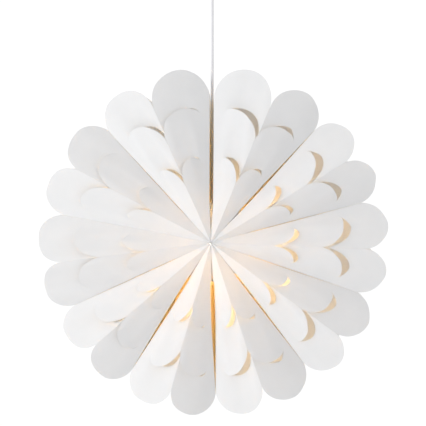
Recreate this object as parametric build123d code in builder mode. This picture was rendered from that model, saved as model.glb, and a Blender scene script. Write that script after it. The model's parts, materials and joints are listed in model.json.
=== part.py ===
from build123d import *
import os
from math import cos, hypot, radians, sin, tan

os.makedirs("parts", exist_ok=True)

# Frame: +Z up, the origin on the ceiling face. The star's axis runs along Y and its front faces -Y.

# The star: ten points, each of two card walls that meet at a ridge, in front and behind.
STAR_DROP = 540.0       # ceiling face down to the star's centre
TIP_RADIUS = 315.0
SEAM_RIDGE = 23.4       # degrees from the seam to the ridges beside it
# Clock angles of the glued valleys: the star hangs open a little unevenly.
VALLEYS = (42.7, 75.4, 109.2, 142.9, 178.6, 211.9, 245.0, 280.0, 316.8)
CARD = 0.6
GLUE_GAP = 0.1
RIDGE_DEPTH_HUB = 58.0  # half the star's depth on the ridges
RIDGE_DEPTH_RIM = 46.0
STRIP_DEPTH_HUB = 56.0  # half the height of the glued strip: all folds nearly meet at the hub
STRIP_DEPTH_RIM = 7.0
WALL_SLOPE_LIMIT = 2.5  # largest width across a wall, in card thicknesses
HUB_RADIUS = 5.0        # where the walls start
SEAM_GAP_HUB = 0.2      # half the gap between the two seam strips, which lets the cord through
SEAM_GAP_CAVITY = 3.9
SEAM_GAP_RIM = 5.2

# Two rows of crescents: radius of the petal's tip and of its end on the ridge, the same for the
# hole's far edge, and the horn's radius and share of the way from the middle line to the valley.
CRESCENTS = ((242.0, 197.0, 249.5, 214.0, 229.0, 0.64), (151.0, 112.0, 157.5, 128.0, 144.5, 0.46))
BACK_SHIFT = 30.0       # the back's crescents lie this much nearer the hub, so none looks through

# The drum-shaped hollow in the middle, for the bulb and its holder.
CAVITY_RADIUS = 70.0
CAVITY_HALF_DEPTH = 30.0

# Thread ties round the cord, through the two seam strips, by height above the centre.
TIE_HEIGHTS = {"seam_tie_lower": 84.0, "seam_tie_upper": 236.0}
TIE_RADIUS = 6.4
TIE_THREAD = 0.5
TIE_HOLE = 0.9

# The cord and what it passes through.
CORD_RADIUS = 2.6
CORD_BORE = 2.66

# Ceiling fitting, heights below the ceiling.
PLATE_RADIUS = 42.0
PLATE_THICKNESS = 2.5
PLATE_SCREW_SPACING = 60.0
PLATE_SCREW_RADIUS = 2.25
PLATE_CHAMFER = 0.8
SUPPLY_HOLE_RADIUS = 7.0
SUPPLY_HOLE_OFFSET = 24.0
HOOK_BAR = 1.5
HOOK_BOW = 7.0
HOOK_BOW_Z = -14.0
RING_BAR = 1.2
RING_RADIUS = 7.0
EYE_BAR = 1.8
EYE_RADIUS = 6.0
LINK_GAP = 0.2
CUP_RIM_Z = -6.0
CUP_FLOOR_Z = -78.0
CUP_COLLAR_Z = -90.0
CUP_RIM_RADIUS = 48.0
CUP_WALL = 2.0
CUP_SHOULDER = 34.0     # height of the cup's straight upper part
COLLAR_RADIUS = 6.5
HANGER_LENGTH = 24.0
HANGER_WIDTH = 12.0
CORD_IN_HANGER = 16.0
CLAMP_RADIUS = 1.9
BLOCK_SIZE = (17.0, 15.0, 12.0)
BLOCK_STANDOFF = 3.0
POLE_SPACING = 4.4
CORE_RADIUS = 0.8

# Lampholder and bulb, heights above the star's centre.
GRIP_TOP = 69.6
GRIP_FOOT = 57.0
GRIP_RADIUS = 6.4
CAP_FOOT = 41.0
HOLDER_RADIUS = 14.0
HOLDER_WALL = 1.6
HOLDER_FOOT = 12.0
CORE_FOOT = 19.0
SOCKET_BORE = 7.1
SOCKET_WALL = 0.5
CONTACT_Z = 35.6
BULB_RADIUS = 22.5
BULB_CENTRE = -16.0
BULB_CAP_RADIUS = 7.0
BULB_CAP_FOOT = 12.5
BULB_CAP_TOP = 31.0
GLASS = 0.8

CENTRE = Vector(0, 0, -STAR_DROP)
star_section = Plane(origin=CENTRE, x_dir=(1, 0, 0), z_dir=(0, -1, 0))
hook_bar_z = HOOK_BOW_Z - HOOK_BOW
ring_centre_z = hook_bar_z + HOOK_BAR + RING_BAR + LINK_GAP - RING_RADIUS
ring_bar_z = ring_centre_z - RING_RADIUS
eye_centre_z = ring_bar_z + RING_BAR + EYE_BAR + LINK_GAP - EYE_RADIUS
hanger_top = eye_centre_z - EYE_RADIUS + 0.5
hanger_foot = hanger_top - HANGER_LENGTH
cord_top = hanger_foot + CORD_IN_HANGER
cord_foot = GRIP_FOOT + 2.0 - STAR_DROP
clamp_z = hanger_foot + CORD_IN_HANGER / 2
block_x = HANGER_WIDTH / 2 + BLOCK_STANDOFF + BLOCK_SIZE[0] / 2
block_z = cord_top - 3
cup_shoulder_z = CUP_RIM_Z - CUP_SHOULDER
cup_screw_z = (CUP_FLOOR_Z + CUP_COLLAR_Z) / 2
cap_inner = HOLDER_RADIUS - HOLDER_WALL
core_radius = cap_inner - 0.05
socket_outer = SOCKET_BORE + SOCKET_WALL
glass_neck = BULB_CAP_RADIUS - 0.5
neck_top = BULB_CAP_FOOT + 4


def save(piece, name):
    """Label one finished piece and write it to its own file."""
    piece.part.label = name
    export_step(piece.part, f"parts/{name}.step")


# ---- The twenty card walls -------------------------------------------------------------------


def valley_angles():
    """Clock angles of the eleven valley lines, from the seam round to the seam."""
    return [0.0, *VALLEYS, 360.0]


def ridge_angles():
    """Clock angles of the ten ridges, midway between valleys except beside the seam."""
    valleys = valley_angles()
    ridges = [(a + b) / 2 for a, b in zip(valleys, valleys[1:])]
    ridges[0] = SEAM_RIDGE
    ridges[-1] = 360 - SEAM_RIDGE
    return ridges


def wall_section(distance, half_angle, side, seam_gap):
    """Section of one wall, across its own middle line: ridge, glued strip, ridge.

    side is 1 where the ridge lies clockwise of the strip. Returns points of (tangent, depth).
    """
    share = (distance - HUB_RADIUS) / (TIP_RADIUS - HUB_RADIUS)
    ridge_depth = RIDGE_DEPTH_HUB + (RIDGE_DEPTH_RIM - RIDGE_DEPTH_HUB) * share
    strip_depth = STRIP_DEPTH_HUB + (STRIP_DEPTH_RIM - STRIP_DEPTH_HUB) * share
    reach = distance * tan(half_angle)
    slope = hypot(2 * reach, ridge_depth - strip_depth) / (ridge_depth - strip_depth)
    across = CARD * min(slope, WALL_SLOPE_LIMIT)
    outer = reach - GLUE_GAP / 2
    inner = -reach + GLUE_GAP / 2 + seam_gap
    line = [(outer - across, -ridge_depth), (inner, -strip_depth), (inner, strip_depth)]
    line += [(outer - across, ridge_depth), (outer, ridge_depth)]
    line += [(inner + across, strip_depth), (inner + across, -strip_depth), (outer, -ridge_depth)]
    return [(side * t, depth) for t, depth in line]


def lobe_outline(half_angle, side):
    """Front outline: two straight sides and the round tip that touches both."""
    centre = TIP_RADIUS / (1 + sin(half_angle))
    radius = TIP_RADIUS - centre
    touch = centre - radius * sin(half_angle)
    edge = radius * cos(half_angle)
    Line((0, 0), (-side * edge, touch))
    ThreePointArc((-side * edge, touch), (0, TIP_RADIUS), (side * edge, touch))
    Line((side * edge, touch), (0, 0))


def crescent_outline(half_angle, side, shift, crescent):
    """A crescent with one horn towards the valley and its other end along the ridge."""
    tip, tip_end, top, top_end, horn = [radius - shift for radius in crescent[:-1]]
    horn_share = crescent[-1]
    slope = side * tan(half_angle)
    reach = tip * slope
    start = (-horn_share * horn * slope, horn)
    low = (1.08 * tip_end * slope, tip_end - 3)
    high = (1.08 * top_end * slope, top_end - 2)
    Bezier(start, (-0.7 * horn_share * reach, tip + 10), (0.75 * reach, tip + 5), low)
    Line(low, high)
    Bezier(high, (0.6 * reach, top + 14), (-0.95 * horn_share * reach, top + 5), start)


ridges = ridge_angles()
valleys = valley_angles()
for number in range(2 * len(ridges)):
    point = number // 2
    side = 1 if number % 2 == 0 else -1
    valley = valleys[point] if side == 1 else valleys[point + 1]
    middle = radians((ridges[point] + valley) / 2)
    half_angle = radians(abs(ridges[point] - valley) / 2)
    at_seam = number in (0, 2 * len(ridges) - 1)
    radial = Vector(sin(middle), 0, cos(middle))
    tangent = Vector(cos(middle), 0, -sin(middle))
    front = Plane(origin=CENTRE, x_dir=tangent, z_dir=(0, -1, 0))
    cuts = [HUB_RADIUS * 0.8, CAVITY_RADIUS - 6, TIP_RADIUS + 2]
    gaps = [SEAM_GAP_HUB, SEAM_GAP_CAVITY, SEAM_GAP_RIM] if at_seam else [0, 0, 0]
    with BuildPart() as sheet:
        for distance, gap in zip(cuts, gaps):
            if gap == 0 and distance == cuts[1]:
                continue
            with BuildSketch(Plane(origin=CENTRE + radial * distance, x_dir=tangent, z_dir=radial)):
                with BuildLine():
                    Polyline(*wall_section(distance, half_angle, side, gap), close=True)
                make_face()
        loft(ruled=True)
        with BuildSketch(front):
            with BuildLine():
                lobe_outline(half_angle, side)
            make_face()
            Circle(HUB_RADIUS, mode=Mode.SUBTRACT)
        extrude(amount=2 * RIDGE_DEPTH_HUB, both=True, mode=Mode.INTERSECT)
        for way, shift in ((1, 0), (-1, BACK_SHIFT)):
            with BuildSketch(front):
                for crescent in CRESCENTS:
                    with BuildLine():
                        crescent_outline(half_angle, side, shift, crescent)
                    make_face()
            extrude(amount=way * 2 * RIDGE_DEPTH_HUB, mode=Mode.SUBTRACT)
        with BuildSketch(front):
            Circle(CAVITY_RADIUS)
        extrude(amount=CAVITY_HALF_DEPTH, both=True, mode=Mode.SUBTRACT)
        if at_seam:
            for height in TIE_HEIGHTS.values():
                with Locations(CENTRE + Vector(0, 0, height)):
                    Torus(TIE_RADIUS, TIE_HOLE, mode=Mode.SUBTRACT)
    save(sheet, f"sheet_{number + 1:02d}")

for name, height in TIE_HEIGHTS.items():
    with BuildPart(Plane(CENTRE + Vector(0, 0, height))) as tie:
        Torus(TIE_RADIUS, TIE_THREAD)
    save(tie, name)

# ---- Ceiling fitting: plate, hook, ring and the cord's hanger --------------------------------

with BuildPart() as ceiling_plate:
    with BuildSketch():
        Circle(PLATE_RADIUS)
        with GridLocations(PLATE_SCREW_SPACING, 0, 2, 1):
            Circle(PLATE_SCREW_RADIUS, mode=Mode.SUBTRACT)
        with Locations((0, SUPPLY_HOLE_OFFSET)):
            Circle(SUPPLY_HOLE_RADIUS, mode=Mode.SUBTRACT)
    extrude(amount=-PLATE_THICKNESS)
    rim = ceiling_plate.edges().group_by(Axis.Z)[0].sort_by(SortBy.LENGTH)[-1]
    chamfer(rim, PLATE_CHAMFER)
save(ceiling_plate, "ceiling_plate")

with BuildPart() as ceiling_hook:
    with BuildLine() as hook_path:
        Line((HOOK_BOW, 0, -PLATE_THICKNESS - 0.05), (HOOK_BOW, 0, HOOK_BOW_Z))
        ThreePointArc((HOOK_BOW, 0, HOOK_BOW_Z), (0, 0, hook_bar_z), (-HOOK_BOW, 0, HOOK_BOW_Z))
        Line((-HOOK_BOW, 0, HOOK_BOW_Z), (-HOOK_BOW, 0, HOOK_BOW_Z + 3))
    with BuildSketch(Plane(origin=hook_path.line @ 0, z_dir=hook_path.line % 0)):
        Circle(HOOK_BAR)
    sweep(path=hook_path.line)
    with BuildSketch(Plane((HOOK_BOW, 0, -PLATE_THICKNESS - 0.05))):
        RegularPolygon(4, 6)
    extrude(amount=-3)
save(ceiling_hook, "ceiling_hook")

with BuildPart(Plane(origin=(0, 0, ring_centre_z), z_dir=(1, 0, 0))) as hook_ring:
    Torus(RING_RADIUS, RING_BAR)
save(hook_ring, "hook_ring")

with BuildPart() as cord_hanger:
    with Locations(Plane(origin=(0, 0, eye_centre_z), z_dir=(0, 1, 0))):
        Torus(EYE_RADIUS, EYE_BAR)
    with BuildSketch(Plane.XY.offset(hanger_foot)):
        RectangleRounded(HANGER_WIDTH, HANGER_WIDTH, 2.5)
    extrude(amount=hanger_top - hanger_foot)
    with BuildSketch(Plane.XY.offset(hanger_foot)):
        Circle(CORD_BORE)
    extrude(amount=cord_top - hanger_foot + 0.1, mode=Mode.SUBTRACT)
    with BuildSketch(Plane(origin=(0, 0, clamp_z), z_dir=(0, -1, 0))):
        Circle(CLAMP_RADIUS + 0.05)
    extrude(amount=HANGER_WIDTH, mode=Mode.SUBTRACT)
    with BuildSketch(Plane(origin=(0, 0, cord_top - 3), z_dir=(1, 0, 0))):
        with GridLocations(POLE_SPACING, 0, 2, 1):
            Circle(CORE_RADIUS + 0.05)
    extrude(amount=HANGER_WIDTH, mode=Mode.SUBTRACT)
save(cord_hanger, "cord_hanger")

with BuildPart(Plane(origin=(0, -CORD_RADIUS - 0.1, clamp_z), z_dir=(0, -1, 0))) as clamp_screw:
    Cylinder(CLAMP_RADIUS, 5.0, align=(Align.CENTER, Align.CENTER, Align.MIN))
    with BuildSketch(Plane(origin=(0, -CORD_RADIUS - 5.1, clamp_z), z_dir=(0, -1, 0))):
        Rectangle(3, 0.7)
    extrude(amount=-1, mode=Mode.SUBTRACT)
save(clamp_screw, "clamp_screw")

# Two-way terminal block on the hanger's side, with the cord's cores running into it.
with BuildPart(Plane((block_x, 0, block_z))) as terminal_block:
    Box(*BLOCK_SIZE)
    fillet(terminal_block.edges().filter_by(Axis.Z), 1.5)
    with GridLocations(9, POLE_SPACING + 2.6, 2, 2):
        with Locations((0, 0, BLOCK_SIZE[2] / 2 - 5)):
            Cylinder(1.55, 5, align=(Align.CENTER, Align.CENTER, Align.MIN), mode=Mode.SUBTRACT)
    with BuildSketch(Plane(origin=(block_x - BLOCK_SIZE[0] / 2, 0, block_z), z_dir=(1, 0, 0))):
        with GridLocations(POLE_SPACING, 0, 2, 1):
            Circle(CORE_RADIUS + 0.05)
    extrude(amount=5, mode=Mode.SUBTRACT)
save(terminal_block, "terminal_block")

with BuildPart(Plane((block_x, 0, block_z + BLOCK_SIZE[2] / 2 - 5))) as terminal_screws:
    with GridLocations(9, POLE_SPACING + 2.6, 2, 2):
        Cylinder(1.5, 3.6, align=(Align.CENTER, Align.CENTER, Align.MIN))
        with Locations((0, 0, 3.6)):
            Box(3.2, 0.6, 1.2, mode=Mode.SUBTRACT)
save(terminal_screws, "terminal_screws")

with BuildPart() as core_wires:
    with BuildSketch(Plane(origin=(CORD_RADIUS + 0.6, 0, block_z), z_dir=(1, 0, 0))):
        with GridLocations(POLE_SPACING, 0, 2, 1):
            Circle(CORE_RADIUS)
    extrude(amount=HANGER_WIDTH / 2 + BLOCK_STANDOFF + 4 - CORD_RADIUS)
save(core_wires, "core_wires")

with BuildPart() as ceiling_cup:
    with BuildSketch(Plane.XZ):
        with BuildLine() as cup_line:
            Line((CUP_RIM_RADIUS - CUP_WALL, CUP_RIM_Z), (CUP_RIM_RADIUS, CUP_RIM_Z))
            Line((CUP_RIM_RADIUS, CUP_RIM_Z), (CUP_RIM_RADIUS - 2, cup_shoulder_z))
            Spline((CUP_RIM_RADIUS - 2, cup_shoulder_z), (COLLAR_RADIUS + 1.5, CUP_FLOOR_Z),
                   tangents=((-0.1, -1), (-1, -0.12)), tangent_scalars=(1.2, 1.2))
            Line((COLLAR_RADIUS + 1.5, CUP_FLOOR_Z), (COLLAR_RADIUS, CUP_COLLAR_Z))
            Line((COLLAR_RADIUS, CUP_COLLAR_Z), (CORD_BORE, CUP_COLLAR_Z))
            Line((CORD_BORE, CUP_COLLAR_Z), (CORD_BORE, CUP_FLOOR_Z + CUP_WALL))
            Spline((CORD_BORE, CUP_FLOOR_Z + CUP_WALL), (CUP_RIM_RADIUS - 2 - CUP_WALL, cup_shoulder_z),
                   tangents=((1, 0.05), (0.1, 1)), tangent_scalars=(1.2, 1.2))
            Line((CUP_RIM_RADIUS - 2 - CUP_WALL, cup_shoulder_z), (CUP_RIM_RADIUS - CUP_WALL, CUP_RIM_Z))
        make_face()
    revolve(axis=Axis.Z)
    with BuildSketch(Plane(origin=(0, 0, cup_screw_z), z_dir=(0, 1, 0))):
        Circle(1.55)
    extrude(amount=COLLAR_RADIUS + 4, mode=Mode.SUBTRACT)
save(ceiling_cup, "ceiling_cup")

cup_screw_plane = Plane(origin=(0, CORD_BORE + 0.1, cup_screw_z), z_dir=(0, 1, 0))
with BuildPart(cup_screw_plane) as cup_screw:
    Cylinder(1.5, 4.0, align=(Align.CENTER, Align.CENTER, Align.MIN))
    with BuildSketch(cup_screw_plane.offset(4.0)):
        Rectangle(2.4, 0.6)
    extrude(amount=-0.8, mode=Mode.SUBTRACT)
save(cup_screw, "cup_screw")

# ---- The cord and the lampholder -------------------------------------------------------------

with BuildPart() as cord:
    with BuildSketch(Plane.XY.offset(cord_foot)):
        Circle(CORD_RADIUS)
    extrude(amount=cord_top - cord_foot)
save(cord, "cord")
print("cord length", round(cord_top - cord_foot, 1), "straight, volume", round(cord.part.volume))


def turned(name, outline):
    """A piece of revolution about the cord's line, from (radius, height) points joined straight."""
    with BuildPart() as piece:
        with BuildSketch(star_section):
            with BuildLine():
                Polyline(*outline, close=True)
            make_face()
        revolve(axis=Axis.Z)
    save(piece, name)


# Cord grip: a slotted collet nut on the holder's cap, on whose shoulder the seam strips rest.
with BuildPart() as cord_grip:
    with BuildSketch(Plane.XY.offset(GRIP_FOOT + 0.05 - STAR_DROP)):
        Circle(GRIP_RADIUS)
        Circle(CORD_BORE, mode=Mode.SUBTRACT)
    extrude(amount=GRIP_TOP - GRIP_FOOT - 0.05)
    chamfer(cord_grip.edges().group_by(Axis.Z)[-1].sort_by(SortBy.LENGTH)[-1], 0.8)
    with BuildSketch(Plane.XY.offset(GRIP_FOOT + 0.05 - STAR_DROP)):
        with PolarLocations(GRIP_RADIUS + 0.5, 12):
            Circle(0.9)
    extrude(amount=GRIP_TOP - GRIP_FOOT - 4, mode=Mode.SUBTRACT)
save(cord_grip, "cord_grip")

turned("holder_cap", [
    (CORD_BORE, GRIP_FOOT), (7.0, GRIP_FOOT), (9.5, GRIP_FOOT - 1.5), (HOLDER_RADIUS, GRIP_FOOT - 8),
    (HOLDER_RADIUS, CAP_FOOT), (cap_inner, CAP_FOOT), (cap_inner, GRIP_FOOT - 9),
    (8.8, GRIP_FOOT - 3.2), (CORD_BORE, GRIP_FOOT - 3.2)])
turned("holder_shell", [
    (HOLDER_RADIUS, CAP_FOOT - 0.05), (cap_inner, CAP_FOOT - 0.05), (cap_inner, HOLDER_FOOT + 4),
    (cap_inner - 1.2, HOLDER_FOOT), (HOLDER_RADIUS - 1.2, HOLDER_FOOT), (HOLDER_RADIUS, HOLDER_FOOT + 4)])
turned("shade_ring", [
    (HOLDER_RADIUS + 0.05, 28), (17.5, 28), (18.5, 27), (18.5, 23.5), (17.5, 22.5),
    (HOLDER_RADIUS + 0.05, 22.5)])
turned("holder_core", [
    (0, CAP_FOOT + 4), (core_radius, CAP_FOOT + 4), (core_radius, CORE_FOOT),
    (socket_outer + 0.05, CORE_FOOT), (socket_outer + 0.05, CONTACT_Z + 1.0), (0, CONTACT_Z + 1.0)])
turned("socket_thread", [
    (SOCKET_BORE, CORE_FOOT - 3), (socket_outer, CORE_FOOT - 3), (socket_outer, CONTACT_Z + 0.9),
    (SOCKET_BORE, CONTACT_Z + 0.9)])
turned("centre_contact", [(0, CONTACT_Z), (3.2, CONTACT_Z), (3.2, CONTACT_Z + 0.9), (0, CONTACT_Z + 0.9)])

# ---- The bulb: globe with a screw cap --------------------------------------------------------


def globe_profile(radius, neck_radius, neck_top):
    """Half outline of a globe running into its neck, from the bottom up."""
    neck_start = BULB_CENTRE + radius * 0.78
    CenterArc((0, BULB_CENTRE), radius, -90, 90 + 40)
    shoulder = (radius * cos(radians(40)), BULB_CENTRE + radius * sin(radians(40)))
    Spline(shoulder, (neck_radius, neck_start + 8), tangents=((-0.64, 0.77), (0, 1)))
    Line((neck_radius, neck_start + 8), (neck_radius, neck_top))


with BuildPart() as bulb_glass:
    with BuildSketch(star_section):
        with BuildLine():
            globe_profile(BULB_RADIUS, glass_neck, neck_top)
            Line((glass_neck, neck_top), (0, neck_top))
            Line((0, neck_top), (0, BULB_CENTRE - BULB_RADIUS))
        make_face()
        with BuildLine():
            globe_profile(BULB_RADIUS - GLASS, glass_neck - GLASS, neck_top)
            Line((glass_neck - GLASS, neck_top), (0, neck_top))
            Line((0, neck_top), (0, BULB_CENTRE - BULB_RADIUS + GLASS))
        make_face(mode=Mode.SUBTRACT)
    revolve(axis=Axis.Z)
save(bulb_glass, "bulb_glass")

turned("bulb_cap", [
    (glass_neck + 0.05, BULB_CAP_FOOT), (BULB_CAP_RADIUS, BULB_CAP_FOOT), (BULB_CAP_RADIUS, BULB_CAP_TOP - 1),
    (BULB_CAP_RADIUS - 1, BULB_CAP_TOP), (4.6, BULB_CAP_TOP), (4.6, BULB_CAP_TOP - 0.5),
    (glass_neck + 0.05 - 1, BULB_CAP_TOP - 1.2), (glass_neck + 0.05, BULB_CAP_TOP - 2)])
turned("cap_insulator", [
    (0, BULB_CAP_TOP + 0.05), (BULB_CAP_RADIUS - 1.4, BULB_CAP_TOP + 0.05), (3.0, CONTACT_Z - 1.5),
    (0, CONTACT_Z - 1.5)])
turned("tip_contact", [
    (0, CONTACT_Z - 1.45), (2.6, CONTACT_Z - 1.45), (2.2, CONTACT_Z - 0.6), (0, CONTACT_Z - 0.2)])
turned("filament_stem", [
    (0, neck_top - 1), (glass_neck - GLASS - 0.3, neck_top - 1), (glass_neck - GLASS - 0.3, neck_top - 2.5),
    (1.6, neck_top - 8), (1.3, BULB_CENTRE + 10), (0, BULB_CENTRE + 10)])
with BuildPart(Plane((0, 0, BULB_CENTRE - 2 - STAR_DROP))) as led_filaments:
    with PolarLocations(6.5, 4):
        Cylinder(0.8, 24)
save(led_filaments, "led_filaments")
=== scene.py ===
"""Looks of the paper snowflake star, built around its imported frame. Metres, +Z up, front towards -Y."""

import json
import math

import bpy
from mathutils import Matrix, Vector, noise
from mathutils.geometry import delaunay_2d_cdt


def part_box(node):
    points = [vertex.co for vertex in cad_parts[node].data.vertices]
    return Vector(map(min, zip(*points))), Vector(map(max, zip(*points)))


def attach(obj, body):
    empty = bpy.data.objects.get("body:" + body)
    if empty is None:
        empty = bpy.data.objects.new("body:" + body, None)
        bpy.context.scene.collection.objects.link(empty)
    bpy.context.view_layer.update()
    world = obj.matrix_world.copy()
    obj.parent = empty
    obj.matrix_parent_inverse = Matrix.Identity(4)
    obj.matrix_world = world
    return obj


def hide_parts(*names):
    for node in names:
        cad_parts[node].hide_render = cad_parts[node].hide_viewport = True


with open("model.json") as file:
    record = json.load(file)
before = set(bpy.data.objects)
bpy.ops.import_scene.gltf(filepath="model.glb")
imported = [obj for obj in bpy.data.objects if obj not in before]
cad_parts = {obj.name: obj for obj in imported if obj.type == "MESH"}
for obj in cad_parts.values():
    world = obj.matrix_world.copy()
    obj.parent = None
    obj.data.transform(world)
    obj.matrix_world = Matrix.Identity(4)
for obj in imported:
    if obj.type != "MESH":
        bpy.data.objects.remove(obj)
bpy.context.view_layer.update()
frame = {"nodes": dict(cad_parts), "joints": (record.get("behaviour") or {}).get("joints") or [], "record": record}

CENTRE = Vector(next(j["pos_m"] for j in frame["joints"] if j["name"] == "star_turn"))
TIP_RADIUS = 0.315       # from the star's centre to the tip of a lobe


def new_object(name, data):
    """An object with this data, linked into the scene."""
    thing = bpy.data.objects.new(name, data)
    bpy.context.collection.objects.link(thing)
    return thing


# ---- Camera, at the photograph's angle -------------------------------------------------------

CAMERA_AZIMUTH = 2.0
CAMERA_ELEVATION = 1.5
CAMERA_DISTANCE = 2.3
SENSOR_WIDTH = 36
VIEW_WIDTH = 0.775       # width of the view at the star
AIM_OFFSET = Vector((0.0015, 0, 0.0512))  # from the star's centre


def add_camera():
    """One camera on a line from the aim point, which is a little above the star's centre."""
    azimuth, elevation = math.radians(CAMERA_AZIMUTH), math.radians(CAMERA_ELEVATION)
    away = Vector((math.sin(azimuth) * math.cos(elevation), -math.cos(azimuth) * math.cos(elevation),
                   math.sin(elevation)))
    camera = new_object("camera", bpy.data.cameras.new("camera"))
    camera.location = CENTRE + AIM_OFFSET + away * CAMERA_DISTANCE
    camera.rotation_euler = (-away).to_track_quat("-Z", "Y").to_euler()
    camera.data.sensor_width = SENSOR_WIDTH
    camera.data.lens = SENSOR_WIDTH * CAMERA_DISTANCE / VIEW_WIDTH
    bpy.context.scene.camera = camera


add_camera()

# ---- Material helpers ------------------------------------------------------------------------

RAMP_START, RAMP_END = 0.3, 0.7      # where noise values start and stop changing a colour


def new_material(name):
    """A material with its Principled node."""
    material = bpy.data.materials.new(name)
    material.use_nodes = True
    return material, material.node_tree, material.node_tree.nodes["Principled BSDF"]


def noise_node(tree, scale, detail=4.0, roughness=0.55, stretch=(1, 1, 1)):
    """Noise in object coordinates, stretched where the grain has a direction."""
    place = tree.nodes.new("ShaderNodeTexCoord")
    mapping = tree.nodes.new("ShaderNodeMapping")
    mapping.inputs["Scale"].default_value = stretch
    texture = tree.nodes.new("ShaderNodeTexNoise")
    texture.inputs["Scale"].default_value = scale
    texture.inputs["Detail"].default_value = detail
    texture.inputs["Roughness"].default_value = roughness
    tree.links.new(place.outputs["Object"], mapping.inputs["Vector"])
    tree.links.new(mapping.outputs["Vector"], texture.inputs["Vector"])
    return texture.outputs["Fac"]


def ramp_node(tree, fac, low, high):
    """A colour between low and high by fac."""
    ramp = tree.nodes.new("ShaderNodeValToRGB")
    ramp.color_ramp.elements[0].position = RAMP_START
    ramp.color_ramp.elements[1].position = RAMP_END
    ramp.color_ramp.elements[0].color = (*low, 1)
    ramp.color_ramp.elements[1].color = (*high, 1)
    tree.links.new(fac, ramp.inputs["Fac"])
    return ramp.outputs["Color"]


def range_node(tree, fac, low, high):
    """A number between low and high by fac."""
    spread = tree.nodes.new("ShaderNodeMapRange")
    spread.inputs["To Min"].default_value = low
    spread.inputs["To Max"].default_value = high
    tree.links.new(fac, spread.inputs["Value"])
    return spread.outputs["Result"]


def bump_node(tree, height, strength, distance, below=None):
    """Bump from a height, over another bump where one is given."""
    bump = tree.nodes.new("ShaderNodeBump")
    bump.inputs["Strength"].default_value = strength
    bump.inputs["Distance"].default_value = distance
    tree.links.new(height, bump.inputs["Height"])
    if below:
        tree.links.new(below, bump.inputs["Normal"])
    return bump.outputs["Normal"]


def mix_node(tree, first, second, output):
    """A mix of two shaders into the tree's output node. Hands back its Fac input."""
    mix = tree.nodes.new("ShaderNodeMixShader")
    tree.links.new(first, mix.inputs[1])
    tree.links.new(second, mix.inputs[2])
    tree.links.new(mix.outputs["Shader"], tree.nodes[output].inputs["Surface"])
    return mix.inputs["Fac"]


# ---- Materials -------------------------------------------------------------------------------

CARD_LOW, CARD_HIGH = (0.870, 0.882, 0.902), (0.896, 0.908, 0.928)
CARD_SPECULAR = 0.25
GLOW_DIM = 0.93          # the darker clouds in lit glass, as a share of its colour

# The star's card: share of the light let through, and the tint of that light. The folds outside
# the hollow let more through than the walls, so that the valleys glow.
CARDS = {
    "star_card": (0.165, (0.98, 0.88, 0.70)),
    "star_fold": (0.52, (0.98, 0.83, 0.50)),
}
# Moulded, glazed and spun surfaces: darker and lighter colour, range of roughness, scale of grain.
PLASTICS = {
    "white_plastic": ((0.83, 0.83, 0.82), (0.88, 0.88, 0.87), (0.34, 0.48), 420),
    "cord_sheath": ((0.78, 0.775, 0.795), (0.82, 0.815, 0.835), (0.45, 0.6), 900),
    "core_plastic": ((0.10, 0.05, 0.03), (0.13, 0.07, 0.04), (0.3, 0.4), 420),
    "ceramic": ((0.80, 0.78, 0.73), (0.86, 0.84, 0.79), (0.15, 0.3), 160),
    "black_glass": ((0.012, 0.012, 0.014), (0.025, 0.024, 0.026), (0.08, 0.2), 420),
    "thread": ((0.80, 0.79, 0.76), (0.88, 0.87, 0.84), (0.8, 0.95), 1500),
    "clear_glass": ((0.75, 0.72, 0.66), (0.82, 0.79, 0.72), (0.05, 0.15), 420),
}
# Metals: darker and lighter colour, range of roughness.
METALS = {
    "zinc_steel": ((0.52, 0.53, 0.55), (0.66, 0.67, 0.69), (0.28, 0.5)),
    "brass": ((0.60, 0.42, 0.16), (0.74, 0.56, 0.26), (0.22, 0.42)),
}
# Lit pieces: colour and strength of the light.
GLOWS = {
    "bulb_opal": ((1.0, 0.66, 0.30), 130.0),
    "filament": ((1.0, 0.62, 0.22), 12.0),
}


def card_material(name, share, tint):
    """Uncoated white card: fibre tooth, faint mottling, and a share of light let through."""
    material, tree, shader = new_material(name)
    fibres = noise_node(tree, scale=900, detail=3, roughness=0.6, stretch=(1, 1, 0.35))
    mottle = noise_node(tree, scale=26, detail=5, roughness=0.6)
    tooth = bump_node(tree, fibres, strength=0.18, distance=0.0002)
    normal = bump_node(tree, mottle, strength=0.12, distance=0.0015, below=tooth)
    tree.links.new(ramp_node(tree, mottle, CARD_LOW, CARD_HIGH), shader.inputs["Base Color"])
    tree.links.new(range_node(tree, fibres, low=0.78, high=0.92), shader.inputs["Roughness"])
    tree.links.new(normal, shader.inputs["Normal"])
    shader.inputs["Specular IOR Level"].default_value = CARD_SPECULAR
    through = tree.nodes.new("ShaderNodeBsdfTranslucent")
    through.inputs["Color"].default_value = (*tint, 1)
    tree.links.new(normal, through.inputs["Normal"])
    fac = mix_node(tree, shader.outputs["BSDF"], through.outputs["BSDF"], "Material Output")
    fac.default_value = share
    return material


def plastic_material(name, low, high, rough, scale):
    """A moulded, glazed or spun surface: faint grain, uneven gloss, a little colour change."""
    material, tree, shader = new_material(name)
    grain = noise_node(tree, scale, detail=4)
    patches = noise_node(tree, scale=30, detail=3)
    tree.links.new(ramp_node(tree, patches, low, high), shader.inputs["Base Color"])
    tree.links.new(range_node(tree, patches, *rough), shader.inputs["Roughness"])
    tree.links.new(bump_node(tree, grain, strength=0.1, distance=0.0002), shader.inputs["Normal"])
    return material


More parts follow.
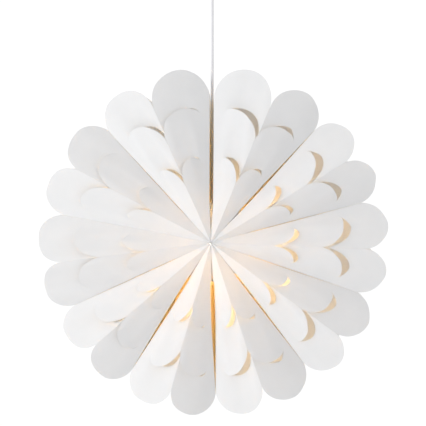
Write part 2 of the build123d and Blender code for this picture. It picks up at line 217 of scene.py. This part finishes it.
def metal_material(name, low, high, rough):
    """Worked metal: fine drawn lines and patchy tarnish."""
    material, tree, shader = new_material(name)
    lines = noise_node(tree, scale=260, detail=4, roughness=0.6, stretch=(1, 1, 8))
    patches = noise_node(tree, scale=55, detail=4)
    tree.links.new(ramp_node(tree, patches, low, high), shader.inputs["Base Color"])
    tree.links.new(range_node(tree, lines, *rough), shader.inputs["Roughness"])
    tree.links.new(bump_node(tree, lines, strength=0.12, distance=0.0001), shader.inputs["Normal"])
    shader.inputs["Metallic"].default_value = 1.0
    return material


def glow_material(name, colour, strength):
    """Lit opal glass or a lit filament: warm, a little uneven."""
    material, tree, shader = new_material(name)
    cloud = noise_node(tree, scale=60, detail=2)
    tone = ramp_node(tree, cloud, tuple(c * GLOW_DIM for c in colour), colour)
    tree.links.new(tone, shader.inputs["Base Color"])
    tree.links.new(tone, shader.inputs["Emission Color"])
    tree.links.new(range_node(tree, cloud, low=0.18, high=0.26), shader.inputs["Roughness"])
    shader.inputs["Emission Strength"].default_value = strength
    return material


materials = {}
for make, looks in ((card_material, CARDS), (plastic_material, PLASTICS),
                    (metal_material, METALS), (glow_material, GLOWS)):
    for slot, look in looks.items():
        materials[slot] = make(slot, *look)

# ---- The cord, from the grip on the lamp holder up to the hanger in the ceiling cup ------------

CORD_RADIUS = 0.0026
cord_low, cord_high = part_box("cord")
cord_heights = (cord_low[2], (cord_low[2] + cord_high[2]) / 2, cord_high[2])
cord_route = [Vector((0, 0, height)) for height in cord_heights]


def add_cord():
    """The pendant cord as one straight tube, pulled tight by the lamp's weight."""
    curve = bpy.data.curves.new("pendant_cord", "CURVE")
    curve.dimensions = "3D"
    spline = curve.splines.new("NURBS")
    spline.points.add(len(cord_route) - 1)
    for point, place in zip(spline.points, cord_route):
        point.co = (*place, 1)
    spline.order_u = 3
    spline.use_endpoint_u = True
    curve.bevel_depth = CORD_RADIUS
    curve.bevel_resolution = 6
    curve.use_fill_caps = True
    curve.materials.append(materials["cord_sheath"])
    piece = new_object("pendant_cord", curve)
    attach(piece, "pendant")
    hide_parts("cord")


add_cord()

# ---- The card walls: angles, depths and gaps --------------------------------------------------

SEAM_RIDGE = 23.4        # clock angle of the ridge beside the seam, in degrees; the seam is at 0
# Clock angles of the glued valleys: the star hangs open a little unevenly.
VALLEYS = (42.7, 75.4, 109.2, 142.9, 178.6, 211.9, 245.0, 280.0, 316.8)
HUB_RADIUS = 0.0007
CAVITY_RADIUS = 0.070    # the hollow round the bulb, where the strips stop at CAVITY_HALF_DEPTH
CAVITY_HALF_DEPTH = 0.030
CARD = 0.00045           # thickness
EDGE_GAP = 0.0001        # between a wall's own middle surface and the plane it is glued on
RIDGE_DEPTH_HUB = 0.058
RIDGE_DEPTH_RIM = 0.046
RIDGE_CROWN = 0.004      # how far a ridge stands out halfway, past a straight line
STRIP_DEPTH_HUB = 0.0577
STRIP_DEPTH_RIM = 0.007
BELLY = 0.0035           # how far a wall bulges between its ridge and its valley
BELLY_START, BELLY_FULL = 0.03, 0.2  # radii between which that bulge sets in
RIPPLE = 0.0007          # unevenness of the card
RIPPLE_SCALE = 17
RIPPLE_APART = 0.3       # keeps the back's ripples from copying the front's
# Half the gap in which the cord runs, by radius.
SEAM_GAPS = ((0.0, 0.0), (0.02, 0.0004), (0.064, 0.0034), (0.317, 0.0040))
# Half the gap that the star's weight pulls open at the front of a valley, by the valley's number.
SLITS = {1: 0.0017, 2: 0.0005, 3: 0.0005, 4: 0.0014, 5: 0.0040, 6: 0.0024, 7: 0.0005, 9: 0.0005}
# How far such a slit is open along its valley: radius, and share of that half gap.
SLIT_SHAPE = ((0.0, 0.0), (0.02, 0.02), (0.055, 0.22), (0.08, 1.0), (0.15, 1.0), (0.27, 0.0), (1.0, 0.0))

# ---- The card walls: crescents and petals -----------------------------------------------------

# Rows of crescents: petal tip, its end on the ridge, top of the hole, its end on the ridge, the
# horn's radius, and the horn's share of the way from the middle line to the valley.
CRESCENTS = (
    (0.242, 0.198, 0.2435, 0.2006, 0.229, 0.64),
    (0.151, 0.1135, 0.1525, 0.1157, 0.1445, 0.50),
)
HORN_HANDLE, HORN_RISE = 0.7, 0.010      # curve handle at the horn: share of the reach, and rise
RIDGE_HANDLE, RIDGE_RISE = 0.75, 0.005   # the handle towards the ridge
BACK_SHIFT = 0.030       # the back's crescents lie this much nearer the hub
PETAL_FORWARD = 0.0060   # how far a petal's edge stands proud of the wall's own plane
WALL_BACK = 0.0035       # how far the wall behind the petal stands back
PETAL_LEAN = 0.027       # how far the petals lean to the left, as a share of their radius
LIFT_FULL = 0.05         # x up to which the lift grows from the horn, as a share of the reach
RIDGE_FADE = 0.55        # x from which it fades towards the ridge, as a share of the reach
RIDGE_LIFT = 0.25        # share of the lift that is left on the ridge, where the card runs through
BEND_LENGTH = 0.055      # distance from the cut in which the lift falls to about a third
EDGE_TOLERANCE = 0.0001  # points this little past a petal's edge still belong to the petal

# ---- The card walls: meshing -----------------------------------------------------------------

EDGE_STEP = 0.0032       # between points on an outline
EDGE_CLEAR = 0.6         # nearest that a point of the grid comes to the outline, in edge steps
GRID_STEP = 0.0062
ROW_PITCH = 0.87         # height of a row of the grid, in grid steps
INSIDE_OUTLINE = 1       # the triangulation's output type: triangles inside the outline
MERGE_DISTANCE = 1e-7    # points nearer than this count as one
SAME_RADIUS = 1e-6       # slack when a point's radius is compared with the hollow's
STRIP_ROWS = 4           # rows of faces across a strip
CREASE_ANGLE = 38        # degrees; sharper edges are shaded sharp


def smooth(low, high, value):
    """0 below low, 1 above high, eased between."""
    x = min(max((value - low) / (high - low), 0), 1)
    return x * x * (3 - 2 * x)


def between(table, x):
    """Straight interpolation in a short table of (x, y)."""
    for (x0, y0), (x1, y1) in zip(table, table[1:]):
        if x <= x1:
            return y0 + (y1 - y0) * (x - x0) / (x1 - x0)
    return table[-1][1]


def sampled(curve, length):
    """Points of curve(0..1), about EDGE_STEP apart, without the last one."""
    steps = max(2, round(length / EDGE_STEP))
    return [curve(i / steps) for i in range(steps)]


def straight(a, b):
    """Straight line from a to b."""
    return sampled(lambda f: a.lerp(b, f), (b - a).length)


def arc(a, middle, b):
    """Arc from a to b through middle."""
    ax, ay, bx, by, cx, cy = *a, *middle, *b
    d = 2 * (ax * (by - cy) + bx * (cy - ay) + cx * (ay - by))
    ux = ((ax**2 + ay**2) * (by - cy) + (bx**2 + by**2) * (cy - ay) + (cx**2 + cy**2) * (ay - by)) / d
    uy = ((ax**2 + ay**2) * (cx - bx) + (bx**2 + by**2) * (ax - cx) + (cx**2 + cy**2) * (bx - ax)) / d
    centre = Vector((ux, uy))
    start = a - centre
    turn = -(start.angle_signed(middle - centre) + (middle - centre).angle_signed(b - centre))

    def point(f):
        c, s = math.cos(turn * f), math.sin(turn * f)
        return centre + Vector((start.x * c - start.y * s, start.x * s + start.y * c))

    return sampled(point, abs(turn) * start.length)


def bezier(a, b, c, d):
    """Cubic curve from a to d."""
    def point(f):
        g = 1 - f
        return a * g**3 + b * (3 * g * g * f) + c * (3 * g * f * f) + d * f**3

    return sampled(point, (b - a).length + (c - b).length + (d - c).length)


def within(p, outline):
    """Whether p lies inside a closed outline."""
    inside = False
    for a, b in zip(outline, outline[1:] + outline[:1]):
        if (a.y > p.y) != (b.y > p.y) and p.x < (b.x - a.x) * (p.y - a.y) / (b.y - a.y) + a.x:
            inside = not inside
    return inside


def slit_gaps(width):
    """Half the gap along a valley, by radius: nothing at the hub, open, and shut further out."""
    return tuple((radius, share * width) for radius, share in SLIT_SHAPE)


class Wall:
    """One card wall in its own flat front view.

    x runs across it, with the ridge at +x. y, which the methods call u, is the radius.
    """

    def __init__(self, half_angle, gaps, shift):
        self.slope = math.tan(half_angle)
        self.gaps = gaps
        tip_centre = TIP_RADIUS / (1 + math.sin(half_angle))
        tip_round = TIP_RADIUS - tip_centre
        self.touch = tip_centre - tip_round * math.sin(half_angle)
        self.crescents = [self.crescent(*(r - shift for r in radii), share) for *radii, share in CRESCENTS]

    def ridge(self, u):
        """The ridge at radius u."""
        return Vector((u * self.slope - EDGE_GAP, u))

    def valley(self, u):
        """The valley at radius u."""
        return Vector((-u * self.slope + EDGE_GAP, u))

    def crescent(self, tip, tip_end, top, top_end, horn, horn_share):
        """A crescent's two edges from its horn to the ridge: the petal's, and the wall's behind."""
        reach = tip * self.slope
        start = Vector((-horn_share * horn * self.slope, horn))

        def edge(peak, end):
            """One edge, over its peak to its end on the ridge."""
            last = self.ridge(end)
            return bezier(start, Vector((-HORN_HANDLE * horn_share * reach, peak + HORN_RISE)),
                          Vector((RIDGE_HANDLE * reach, peak + RIDGE_RISE)), last) + [last]

        return edge(tip, tip_end), edge(top, top_end)

    def outline(self):
        """The closed outline, and how many of its first points are the valley edge."""
        end = self.valley(self.touch)
        valley = straight(self.valley(HUB_RADIUS), self.valley(CAVITY_RADIUS))
        valley += straight(self.valley(CAVITY_RADIUS), end) + [end]
        start = self.ridge(self.touch)
        points = valley + arc(end, Vector((0, TIP_RADIUS)), start)[1:]
        for petal, wall in self.crescents:
            points += straight(start, wall[-1])
            points += wall[:0:-1]
            points += petal[:-1]
            start = petal[-1]
        points += straight(start, self.ridge(HUB_RADIUS)) + [self.ridge(HUB_RADIUS)]
        return points, len(valley)

    def across(self, x, u):
        """How far a point is from the ridge, at 0, to the valley, at 1."""
        return min(max((u * self.slope - x) / (2 * u * self.slope), 0), 1)

    def lift(self, x, u):
        """How much a point is lifted: up to 1 at a petal's edge, down to -1 on the wall behind it."""
        lift = 0
        for petal, _ in self.crescents:
            horn = petal[0]
            reach = horn.y * self.slope
            share = smooth(horn.x, LIFT_FULL * reach, x)
            if share == 0:
                continue
            share *= 1 - (1 - RIDGE_LIFT) * smooth(RIDGE_FADE * reach, reach, x)
            edge = between([(p.x, p.y) for p in petal], x)
            if u <= edge + EDGE_TOLERANCE:
                lift += share * math.exp((u - edge) / BEND_LENGTH)
            else:
                lift -= share * math.exp((edge - u) / BEND_LENGTH)
        return lift

    def depth(self, x, u):
        """Half depth of the wall at one point of the front view."""
        share = (u - HUB_RADIUS) / (TIP_RADIUS - HUB_RADIUS)
        ridge = RIDGE_DEPTH_HUB + (RIDGE_DEPTH_RIM - RIDGE_DEPTH_HUB) * share
        ridge += RIDGE_CROWN * math.sin(math.pi * share)
        strip = STRIP_DEPTH_HUB + (STRIP_DEPTH_RIM - STRIP_DEPTH_HUB) * share
        across = self.across(x, u)
        belly = BELLY * math.sin(math.pi * across) * smooth(BELLY_START, BELLY_FULL, u)
        lift = self.lift(x, u)
        step = lift * (PETAL_FORWARD if lift > 0 else WALL_BACK)
        return ridge + (strip - ridge) * across + belly + step

    def shifted(self, x, u):
        """x with the valley's gap let in on the valley side."""
        return x + between(self.gaps, u) * self.across(x, u)

    def flat_mesh(self):
        """The front view as points and triangles, each point's sources, and the valley's point count."""
        points, valley_count = self.outline()
        low = Vector((min(p.x for p in points), min(p.y for p in points)))
        high = Vector((max(p.x for p in points), max(p.y for p in points)))
        inside = []
        rows = int((high.y - low.y) / (GRID_STEP * ROW_PITCH))
        for row in range(rows + 1):
            y = low.y + row * GRID_STEP * ROW_PITCH
            for column in range(int((high.x - low.x) / GRID_STEP) + 2):
                p = Vector((low.x + (column + 0.5 * (row % 2)) * GRID_STEP, y))
                if within(p, points) and min((p - q).length for q in points) > EDGE_CLEAR * EDGE_STEP:
                    inside.append(p)
        count = len(points)
        edges = [(i, (i + 1) % count) for i in range(count)]
        result = delaunay_2d_cdt(points + inside, edges, [list(range(count))],
                                 INSIDE_OUTLINE, MERGE_DISTANCE)
        return result[0], result[2], result[3], valley_count


def add_strip(verts, faces, near, far, turned):
    """A strip of faces between two rows of points."""
    rows = [near]
    for step in range(1, STRIP_ROWS):
        rows.append(list(range(len(verts), len(verts) + len(near))))
        verts += [verts[i].lerp(verts[j], step / STRIP_ROWS) for i, j in zip(near, far)]
    rows.append(far)
    for one, two in zip(rows, rows[1:]):
        for i in range(len(one) - 1):
            quad = (one[i], one[i + 1], two[i + 1], two[i])
            faces.append(tuple(reversed(quad)) if turned else quad)


def wall_mesh(half_angle, gaps, at_seam, side, clock):
    """One card wall as a middle surface: front face, glued strip and back face.

    The strip runs from front to back outside the hollow, and stops at the hollow inside it. A slit
    is open at the front only, and the seam from front to back.
    """
    radial = Vector((math.sin(clock), 0, math.cos(clock)))
    tangent = Vector((math.cos(clock), 0, -math.sin(clock)))

    def in_plane(x, u):
        """A point of the flat view, in the star's middle plane."""
        return CENTRE + radial * u + tangent * (side * x)

    verts, faces, folds, edges = [], [], [], []
    for way, shift, own_gaps in ((-1, 0, gaps), (1, BACK_SHIFT, gaps if at_seam else slit_gaps(0))):
        wall = Wall(half_angle, own_gaps, shift)
        flat, triangles, sources, valley_count = wall.flat_mesh()
        turned = (side == 1) == (way == -1)
        first = len(verts)
        for p in flat:
            spot = in_plane(wall.shifted(p.x, p.y), p.y)
            ripple = RIPPLE * noise.noise(Vector((spot.x, way * RIPPLE_APART, spot.z)) * RIPPLE_SCALE)
            lean = -PETAL_LEAN * p.y * wall.lift(p.x, p.y)
            verts.append(spot + Vector((lean, way * (wall.depth(p.x, p.y) + ripple), 0)))
        for a, b, c in triangles:
            faces.append(tuple(first + i for i in ((a, b, c) if turned else (a, c, b))))
        place_of = {source: i for i, found in enumerate(sources) for source in found}
        valley = [place_of[i] for i in range(valley_count)]
        inner = [i for i in valley if flat[i].y < CAVITY_RADIUS + SAME_RADIUS]
        edges.append([first + i for i in valley if flat[i].y > CAVITY_RADIUS - SAME_RADIUS])
        rim = list(range(len(verts), len(verts) + len(inner)))
        for p in (flat[i] for i in inner):
            spot = in_plane(wall.shifted(p.x, p.y) if at_seam else p.x, p.y)
            verts.append(Vector((spot.x, way * CAVITY_HALF_DEPTH, spot.z)))
        add_strip(verts, faces, [first + i for i in inner], rim, turned)
    add_strip(verts, folds, *edges, side == 1)
    return verts, faces, folds


def thickened(name, verts, faces, folds):
    """An object from a middle surface, given the card's thickness and its creases."""
    mesh = bpy.data.meshes.new(name)
    mesh.from_pydata(verts, [], faces + folds)
    mesh.materials.append(materials["star_card"])
    mesh.materials.append(materials["star_fold"])
    for polygon in mesh.polygons:
        polygon.material_index = int(polygon.index >= len(faces))
    mesh.update()
    sheet = new_object(name + ".raw", mesh)
    solid = sheet.modifiers.new("card", "SOLIDIFY")
    solid.thickness = CARD
    solid.offset = 0
    solid.use_even_offset = False
    solid.thickness_clamp = 1.0
    graph = bpy.context.evaluated_depsgraph_get()
    graph.update()
    final = bpy.data.meshes.new_from_object(sheet.evaluated_get(graph))
    bpy.data.objects.remove(sheet)
    final.name = name
    final.shade_smooth()
    final.set_sharp_from_angle(angle=math.radians(CREASE_ANGLE))
    return new_object(name, final)


def add_walls():
    """The twenty walls, clockwise from the seam as seen from the front."""
    valleys = [0.0, *VALLEYS, 360.0]
    ridges = [(a + b) / 2 for a, b in zip(valleys, valleys[1:])]
    ridges[0], ridges[-1] = SEAM_RIDGE, 360 - SEAM_RIDGE
    count = 2 * len(ridges)
    for number in range(count):
        side = 1 if number % 2 == 0 else -1
        valley_number = number // 2 + number % 2
        ridge, valley = ridges[number // 2], valleys[valley_number]
        half_angle = math.radians(abs(ridge - valley) / 2)
        clock = math.radians((ridge + valley) / 2)
        at_seam = number in (0, count - 1)
        gaps = SEAM_GAPS if at_seam else slit_gaps(SLITS.get(valley_number, 0))
        piece = thickened(f"card_wall_{number + 1:02d}", *wall_mesh(half_angle, gaps, at_seam, side, clock))
        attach(piece, "star")
        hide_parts(f"sheet_{number + 1:02d}")


add_walls()

# ---- Finishes of the CAD pieces --------------------------------------------------------------

slots = {part["node"]: part["material_slot"] for part in frame["record"]["subparts"]}
for node, thing in frame["nodes"].items():
    for place in thing.material_slots:
        place.material = materials[slots[node]]

# ---- Floor, light and backdrop ---------------------------------------------------------------

FLOOR_DROP = 1.9         # below the star's centre
FLOOR_REACH = 5.0
FLOOR_FADE = (0.7, 3.8)  # distances from the star's axis at which the floor starts and ends to fade
FLOOR_LOW, FLOOR_HIGH = (0.90, 0.90, 0.90), (0.93, 0.93, 0.93)
FLOOR_ROUGHNESS = 0.9
WORLD_SEEN = 1.05        # strength of the world where the camera sees it
WORLD_LIGHT = 0.745      # strength of the world as a light
WORLD_TINT = (0.985, 0.99, 1.0, 1)


def add_floor():
    """A wide pale floor well below the star, which fades out far from it."""
    mesh = bpy.data.meshes.new("floor")
    corners = [(x * FLOOR_REACH, y * FLOOR_REACH, 0) for x, y in ((-1, -1), (1, -1), (1, 1), (-1, 1))]
    mesh.from_pydata(corners, [], [(0, 1, 2, 3)])
    floor = new_object("floor", mesh)
    floor.location = (0, 0, CENTRE.z - FLOOR_DROP)
    material, tree, shader = new_material("floor_pale")
    tone = ramp_node(tree, noise_node(tree, scale=3, detail=3), FLOOR_LOW, FLOOR_HIGH)
    tree.links.new(tone, shader.inputs["Base Color"])
    shader.inputs["Roughness"].default_value = FLOOR_ROUGHNESS
    where = tree.nodes.new("ShaderNodeTexCoord")
    distance = tree.nodes.new("ShaderNodeVectorMath")
    distance.operation = "LENGTH"
    fade = tree.nodes.new("ShaderNodeMapRange")
    fade.interpolation_type = "SMOOTHSTEP"
    fade.inputs["From Min"].default_value = FLOOR_FADE[0]
    fade.inputs["From Max"].default_value = FLOOR_FADE[1]
    tree.links.new(where.outputs["Object"], distance.inputs[0])
    tree.links.new(distance.outputs["Value"], fade.inputs["Value"])
    clear = tree.nodes.new("ShaderNodeBsdfTransparent")
    fac = mix_node(tree, shader.outputs["BSDF"], clear.outputs["BSDF"], "Material Output")
    tree.links.new(fade.outputs["Result"], fac)
    mesh.materials.append(material)


def add_area(name, place, size, watts):
    """A soft square light, placed from the star's centre and aimed at it."""
    light = bpy.data.lights.new(name, "AREA")
    light.size = size
    light.energy = watts
    lamp = new_object(name, light)
    lamp.location = CENTRE + Vector(place)
    lamp.rotation_euler = (-Vector(place)).to_track_quat("-Z", "Y").to_euler()


def add_world():
    """White to look at, and dimmer as a light, as in a studio with a bright far wall."""
    world = bpy.data.worlds.new("pale_room")
    bpy.context.scene.world = world
    world.use_nodes = True
    tree = world.node_tree
    seen = tree.nodes["Background"]
    seen.inputs["Color"].default_value = (1, 1, 1, 1)
    seen.inputs["Strength"].default_value = WORLD_SEEN
    cast = tree.nodes.new("ShaderNodeBackground")
    cast.inputs["Color"].default_value = WORLD_TINT
    cast.inputs["Strength"].default_value = WORLD_LIGHT
    path = tree.nodes.new("ShaderNodeLightPath")
    fac = mix_node(tree, cast.outputs["Background"], seen.outputs["Background"], "World Output")
    tree.links.new(path.outputs["Is Camera Ray"], fac)


add_floor()
add_area("key_left", place=(-3.2, -2.35, 0.15), size=1.6, watts=66)
add_area("fill_right", place=(2.0, -2.4, 0.3), size=1.8, watts=3)
add_world()
bpy.context.scene.view_settings.view_transform = "Standard"
